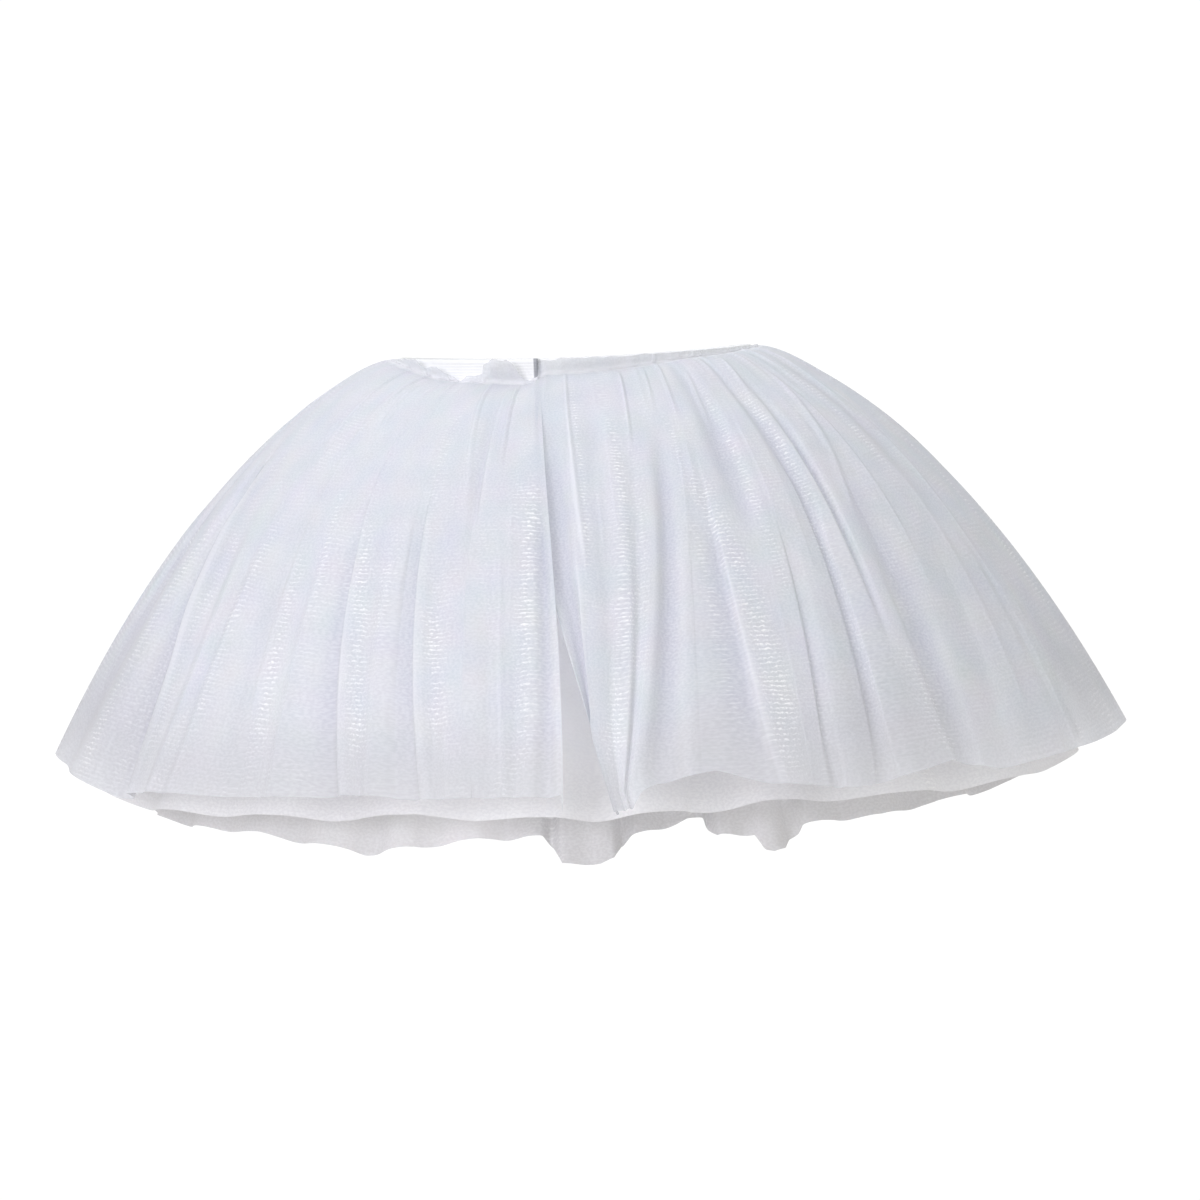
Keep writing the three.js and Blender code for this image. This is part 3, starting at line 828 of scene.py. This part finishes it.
# %% Shader expressions
class Value:
    """A shader socket that can be reckoned with like a number."""

    def __init__(self, tree, socket=None):
        self.tree = tree
        self.socket = socket

    def add(self, kind, settings=None, inputs=None, output=0):
        node = self.tree.nodes.new(kind)
        for key, value in (settings or {}).items():
            setattr(node, key, value)
        for key, value in (inputs or {}).items():
            if isinstance(value, Value):
                self.tree.links.new(value.socket, node.inputs[key])
            else:
                node.inputs[key].default_value = value
        return Value(self.tree, node.outputs[output])

    def math(self, operation, *terms):
        return self.add("ShaderNodeMath", {"operation": operation}, dict(enumerate(terms)))

    def __add__(self, other):
        return self.math("ADD", self, other)

    __radd__ = __add__

    def __sub__(self, other):
        return self.math("SUBTRACT", self, other)

    def __rsub__(self, other):
        return self.math("SUBTRACT", other, self)

    def __mul__(self, other):
        return self.math("MULTIPLY", self, other)

    __rmul__ = __mul__

    def sine(self):
        return self.math("SINE", self)

    def positive(self):
        return self.math("ABSOLUTE", self)

    def capped(self):
        return self.math("MINIMUM", self, 1)

    def step(self, low, high):
        """0 below low and 1 above high, with a soft step between."""
        inputs = {"Value": self, "From Min": low, "From Max": high}
        return self.add("ShaderNodeMapRange", {"interpolation_type": "SMOOTHSTEP"}, inputs)

    def blend(self, low, high):
        """The colour low where this is 0 and high where it is 1."""
        inputs = {"Factor": self}
        for key, colour in (("A", low), ("B", high)):
            inputs[key] = colour if isinstance(colour, Value) else (*colour, 1)
        return self.add("ShaderNodeMix", {"data_type": "RGBA"}, inputs, 2)

    def other(self, output):
        """Another output of the same node."""
        return Value(self.tree, self.socket.node.outputs[output])

    def into(self, shader, name):
        self.tree.links.new(self.socket, shader.inputs[name])


def new_material(name, fixed):
    """A material, its main shader with fixed inputs set, and a start for expressions."""
    material = bpy.data.materials.new(name)
    material.use_nodes = True
    surface = material.node_tree.nodes["Principled BSDF"]
    for key, value in fixed.items():
        surface.inputs[key].default_value = value
    return material, surface, Value(material.node_tree)


def cloth_map(start):
    """Where a point lies on the flat cloth, in metres: as a vector, across, and down."""
    uv = start.add("ShaderNodeUVMap", {"uv_map": "cloth"})
    across = start.add("ShaderNodeSeparateXYZ", None, {"Vector": uv})
    return uv, across, across.other(1)


def noise(start, vector, scale, detail=1, stretch=None, output=0):
    """Flat noise on the cloth; stretch is a pair of factors across and down."""
    if stretch:
        vector = start.add("ShaderNodeMapping", None, {"Vector": vector, "Scale": (*stretch, 1)})
    inputs = {"Vector": vector, "Scale": scale, "Detail": detail}
    return start.add("ShaderNodeTexNoise", {"noise_dimensions": "2D"}, inputs, output)


print("sockets can now be added, subtracted and multiplied")


# %% [markdown]
# ## Shimmer tulle
# The net is white yarn with a faint blue, violet and green cast, a fine speckle from its mesh, and bright
# dashes every few millimetres, which are painted highlights. Its holes are smaller than a millimetre, so
# those of the top layer become a little transparency, and the light that passes through the net comes
# from a Translucent share.
# Hollows are painted darker and violet: a painted shade.

# %% The patterns of the yarn
COURSE_PITCH = 0.0035
# how many clumps each pattern of noise has to a metre of cloth
WANDER_SCALE, TINT_SCALE, STREAK_SCALE, KNOT_SCALE, GRAIN_SCALE = 26, 42, 60, 300, 620


def mark(start, name):
    """One of the marks that the mesh carries."""
    return start.add("ShaderNodeAttribute", {"attribute_name": name}, None, 2)


def yarn(start, uv, down):
    """The waves of the courses, straight and knotted, the dashes that lie on them, and the fine grain."""
    knots = noise(start, uv, KNOT_SCALE, 0, (1, 1.6))
    courses = down * (2 * math.pi / COURSE_PITCH) + noise(start, uv, WANDER_SCALE, 0) * 12
    ribs = (courses + knots * 4).sine()
    grain = noise(start, uv, GRAIN_SCALE)
    dash = ribs.step(0.1, 0.9) * (knots.step(0.38, 0.6) * 0.8 + 0.2) * (grain.step(0.3, 0.6) * 0.6 + 0.4)
    return courses, ribs, dash, grain


def shine(start, uv, clouds, shimmer):
    """How strongly the painted highlights of the yarn show: in the ladders, and softly in long streaks
    between them.
    """
    streaks = noise(start, uv, STREAK_SCALE, 0, (1, 0.12))
    bright = mark(start, "glint") * (clouds * 1.2 + 0.4) * shimmer
    soft = (streaks.step(0.45, 0.7) * 0.22 + 0.06) * clouds.step(0.3, 0.6)
    return bright + soft


print("the courses of yarn lie", COURSE_PITCH / MM, "mm apart")


# %% [markdown]
# The colour is laid on in steps, from what lies lowest to what lies on top: shade and light, tints,
# painted shade in the hollows, painted highlights on the edges, painted shade at a free hem, the threads,
# and painted light along the stitch line, where the gathers are.

# %% The colour of the net
RIDGE_HIGHLIGHT_COLOUR = (0.86, 0.87, 0.92)
STITCH_LINE_LIGHT_COLOUR = (0.98, 0.98, 1)
STITCH_LINE_LIGHT_HEIGHTS = (0.001, 0.006)
TINT_STRENGTH = 0.04


def net_colour(start, down, tints, grain, colours, hem_shade_share):
    """The net without its sparkle."""
    light, shade, hollow, thread, hem_shading = colours
    hem_shade = mark(start, "hem_shade")
    base = tints.other(0).step(0.3, 0.7).blend(shade, light)
    tinted = start.add("ShaderNodeMix", {"data_type": "RGBA", "blend_type": "LINEAR_LIGHT"},
                       {"Factor": TINT_STRENGTH, "A": base, "B": tints}, 2)
    # Painted shade: where the hollow mark is high, the colour is painted darker and violet.
    deep = (mark(start, "hollow").step(0.1, 1) * 0.6).blend(tinted, hollow)
    # Painted highlight: thin ridges are painted lighter, for the sheen of net seen edge-on and partly for
    # the doubled net there.
    raised = (mark(start, "ridge").step(0.5, 1) * (0.5 - hem_shade * 0.4)).blend(deep, RIDGE_HIGHLIGHT_COLOUR)
    # Painted shade: near a free hem the colour is painted darker and greyer, by the hem's mark and share.
    single = (hem_shade * hem_shade_share).blend(raised, hem_shading)
    woven = (grain.step(0.3, 0.7) * (0.36 - hem_shade * 0.14)).blend(single, thread)
    # Painted light: a light band along the stitch line, where the crease between heading and skirt would
    # lie in shade.
    gathers = (1 - down.positive().step(*STITCH_LINE_LIGHT_HEIGHTS)) * 0.7
    return gathers.blend(woven, STITCH_LINE_LIGHT_COLOUR)


print("the light gathers fade out", STITCH_LINE_LIGHT_HEIGHTS[1] / MM, "mm from the stitch line")


# %% [markdown]
# Only the top layer is see-through: a little everywhere, less on ridges and dashes, and more at its raw
# hem and in its heading. A Mix Shader puts a transparent gap beside the net for that.

# %% The tulle finish
HEADING_GAP = 0.35
GAP_SHADE_COLOUR = (0.42, 0.42, 0.48)
GLOW_SHARE = 0.45


def see_through(start, lit, spark, down, cover):
    """The lit net with gaps in it; cover is how much light it stops."""
    heading = 1 - down.step(-0.004, 0)
    cloth = cover + 0.16 * mark(start, "ridge").step(0.1, 0.9) + 0.12 * spark
    cloth = (cloth - mark(start, "sheer") - heading * HEADING_GAP).capped()
    gap = start.add("ShaderNodeBsdfTransparent")
    return start.add("ShaderNodeMixShader", None, {0: cloth, 1: gap, 2: lit})


def tulle_material(name, colours, hem_shade_share, shimmer, cover):
    """Shimmer tulle; towards its free hem it is painted darker, to the last of the colours, by
    hem_shade_share.
    """
    material, surface, start = new_material(name, {"Sheen Weight": 0.08, "Specular IOR Level": 0.3})
    uv, _, down = cloth_map(start)
    courses, ribs, dash, grain = yarn(start, uv, down)
    tints = noise(start, uv, TINT_SCALE, 1, (1, 0.7), 1)
    shining = shine(start, uv, tints.other(0), shimmer)
    # Painted highlights: where the yarn shines, its dashes are painted towards white, and painted shade
    # darkens the gaps between them.
    spark = (dash * shining * 0.8).capped()
    gap_shade = ((0 - ribs).step(0, 0.9) * shining * 0.15).capped()
    plain = net_colour(start, down, tints, grain, colours, hem_shade_share)
    spark.blend(gap_shade.blend(plain, GAP_SHADE_COLOUR), (1, 1, 1)).into(surface, "Base Color")
    (0.55 - 0.2 * spark).into(surface, "Roughness")
    relief = {"Height": courses.sine(), "Distance": 0.0002, "Strength": 0.25}
    start.add("ShaderNodeBump", None, relief).into(surface, "Normal")
    glow = start.add("ShaderNodeBsdfTranslucent", None, {"Color": (*colours[0], 1)})
    face = Value(start.tree, surface.outputs[0])
    net = start.add("ShaderNodeMixShader", None, {0: GLOW_SHARE, 1: face, 2: glow})
    if cover < 1:
        net = see_through(start, net, spark, down, cover)
    net.into(start.tree.nodes["Material Output"], "Surface")
    return material


print(f"{GLOW_SHARE:.0%} of the light that reaches the net glows through it")


# %% [markdown]
# ## Satin elastic
# The elastic is bright white, with cords running round it and fine weft between them, both shallow. A thin
# dark line is painted at its cut end, beside the slit: a painted shadow of the end that laps over its
# start.

# %% The elastic finish
CORD_PITCH = 0.0021
WEFT_PITCH = 0.0012
LAP_SHADOW_END = (0.0035, 0.0025)          # where the painted shadow starts and is full, from the strip's end


def elastic_material():
    """The elastic's cords and weft, and a painted shadow at its lapped end."""
    material, surface, start = new_material("satin_elastic", {"Sheen Weight": 0.2})
    uv, across, down = cloth_map(start)
    cords = (down * (2 * math.pi / CORD_PITCH)).sine()
    weft = (across * (2 * math.pi / WEFT_PITCH)).sine()
    cloud = noise(start, uv, 60, 3)
    woven = cloud.blend((0.68, 0.69, 0.715), (0.735, 0.745, 0.765))
    # Painted shadow: the last few millimetres at the strip's lapped end are painted dark.
    lap_shadow = across.step(*(BAND_LENGTH - back for back in LAP_SHADOW_END))
    lap_shadow.blend(woven, (0.27, 0.28, 0.31)).into(surface, "Base Color")
    (0.42 + 0.1 * cloud).into(surface, "Roughness")
    relief = {"Height": cords * 0.5 + weft * 0.3, "Distance": 0.0003, "Strength": 0.4}
    start.add("ShaderNodeBump", None, relief).into(surface, "Normal")
    return material


print("the sealed end of the elastic lies", round(BAND_LENGTH, 3), "m along the strip")


# %% [markdown]
# Every layer gets its own mix of the same net. The inner ones are painted whiter, because less light
# reaches them, and their last centimetres are painted greyer, a painted shade where a single layer of net
# hangs free. They are solid too, since nothing is seen through them.

# %% Finishes of the pieces
FINISHES = [
    # piece, colours: light, shade, hollow (painted shade), thread and free hem (painted shade)
    # how far the free hem turns to its painted shade, shimmer, cover
    ("tulle_top", ((0.622, 0.635, 0.682), (0.592, 0.61, 0.662), (0.455, 0.46, 0.565),
                   (0.86, 0.865, 0.9), (0.455, 0.45, 0.478)), 0.85, 1, 0.95),
    ("tulle_middle", ((0.92, 0.917, 0.94), (0.88, 0.877, 0.905), (0.86, 0.86, 0.89),
                      (1, 1, 1), (0.435, 0.43, 0.458)), 0.8, 1, 1),
    ("tulle_under", ((0.79, 0.787, 0.81), (0.76, 0.757, 0.78), (0.69, 0.69, 0.72),
                     (0.86, 0.865, 0.9), (0.4, 0.393, 0.42)), 1, 0.6, 1),
]
for name, *finish in FINISHES:
    tulle[name].data.materials.append(tulle_material(name + "_finish", *finish))
band.data.materials.append(elastic_material())
print("nodes in each finish:", [len(m.node_tree.nodes) for m in bpy.data.materials if m.use_nodes])

# %% [markdown]
# ## The pieces on the body
# Each piece rides on the body and hides the CAD node that it takes the place of, and the print says how
# its area compares with the cloth's size before it was gathered.

# %% Put each piece on the body
PIECES = [
    (tulle["tulle_top"], "top_layer", "outer_tulle", (2.40, 0.40)),
    (tulle["tulle_middle"], "middle_layer", "inner_tulle", (2.1, 0.40)),
    (tulle["tulle_under"], "under_layer", "inner_tulle", (2.0, 0.40)),
]
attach(band, "root")
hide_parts("waistband")
for piece, node, slot, flat in PIECES:
    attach(piece, "root")
    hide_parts(node)
    print(piece.name, "has", round(mesh_area(piece) / (flat[0] * flat[1]), 3), "times its flat area")

# %% [markdown]
# ## Light
# A white studio: a bright ceiling, a dimmer ring of walls, and one large soft lamp to the left of the
# camera. The ceiling does most of the work, and the lamp makes the left side lighter than the right.

# %% The lamp
LAMP_PLACE = Vector((-2.1, -2.8, 0.8))
LAMP_AIM = Vector((0, 0, -0.15))
bpy.ops.object.light_add(type="AREA", location=LAMP_PLACE)
lamp = bpy.context.object
lamp.name = "key"
lamp.rotation_euler = (LAMP_AIM - LAMP_PLACE).to_track_quat("-Z", "Y").to_euler()
lamp.data.size = 1.4
lamp.data.energy = 74
lamp.data.color = (0.945, 0.935, 1)
print("the lamp stands", round(LAMP_PLACE.length, 2), "m from the waist")

# %% The white room
CEILING = (1.84, 1.88, 1.88)
WALLS = (0.78, 0.77, 0.725)
GROUND = (0.24, 0.19, 0.1)
BACKDROP = (1.05, 1.05, 1.05)

world = bpy.data.worlds.new("white_room")
world.use_nodes = True
bpy.context.scene.world = world
back = world.node_tree.nodes["Background"]
start = Value(world.node_tree)
seen = start.add("ShaderNodeLightPath", None, None, "Is Camera Ray")
way = start.add("ShaderNodeTexCoord", None, None, "Generated")
height = start.add("ShaderNodeSeparateXYZ", None, {"Vector": way}, 2)
sky = height.step(0.2, 1).blend(WALLS, CEILING)
dome = height.step(-0.15, 0.25).blend(GROUND, sky)
seen.blend(dome, BACKDROP).into(back, "Color")
print("the ceiling is", round(CEILING[0] / WALLS[0], 1), "times as bright as the walls")

# %% [markdown]
# ## Floor and camera
# The skirt hangs as if it were worn, so the floor lies well below it. The camera stands in front, a
# little above the waist, with a long lens and a slight tilt.

# %% Floor
FLOOR_PLACE = (0, 0, -1.05)
bpy.ops.mesh.primitive_circle_add(vertices=96, radius=1.4, fill_type="NGON", location=FLOOR_PLACE)
floor = bpy.context.object
floor.name = "floor"
FLOOR_LOOK = {"Base Color": (0.9, 0.9, 0.9, 1), "Roughness": 0.9,
              "Emission Color": (1, 1, 1, 1), "Emission Strength": 0.25}
floor.data.materials.append(new_material("pale_floor", FLOOR_LOOK)[0])
floor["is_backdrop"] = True
print("the floor lies", round(cad_box[0][2] - floor.location.z, 2), "m below the hem")

# %% Camera
CAMERA_PLACE = Vector((0.0115, -2.2, 0.045))
CAMERA_AIM = Vector((0.0115, 0, -0.1718))
CAMERA_ROLL = math.radians(-2.3)
bpy.ops.object.camera_add(location=CAMERA_PLACE)
camera = bpy.context.object
turn = (CAMERA_AIM - CAMERA_PLACE).to_track_quat("-Z", "Y") @ Quaternion((0, 0, 1), CAMERA_ROLL)
camera.rotation_euler = turn.to_euler()
camera.data.sensor_width = 36
camera.data.lens = 88.4
bpy.context.scene.camera = camera
bpy.context.scene.view_settings.view_transform = "Standard"
bpy.context.scene.cycles.transparent_max_bounces = 16
print("the camera is", round((CAMERA_AIM - CAMERA_PLACE).length, 2), "m from the skirt")

# %% [markdown]
# ## Sizes
# The box of the finished pieces is printed beside the frame's own box.

# %% Print the sizes
visual_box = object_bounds()
for name, box in (("cad", cad_box), ("visual", visual_box)):
    print(name, [round(x, 3) for corner in box for x in corner])
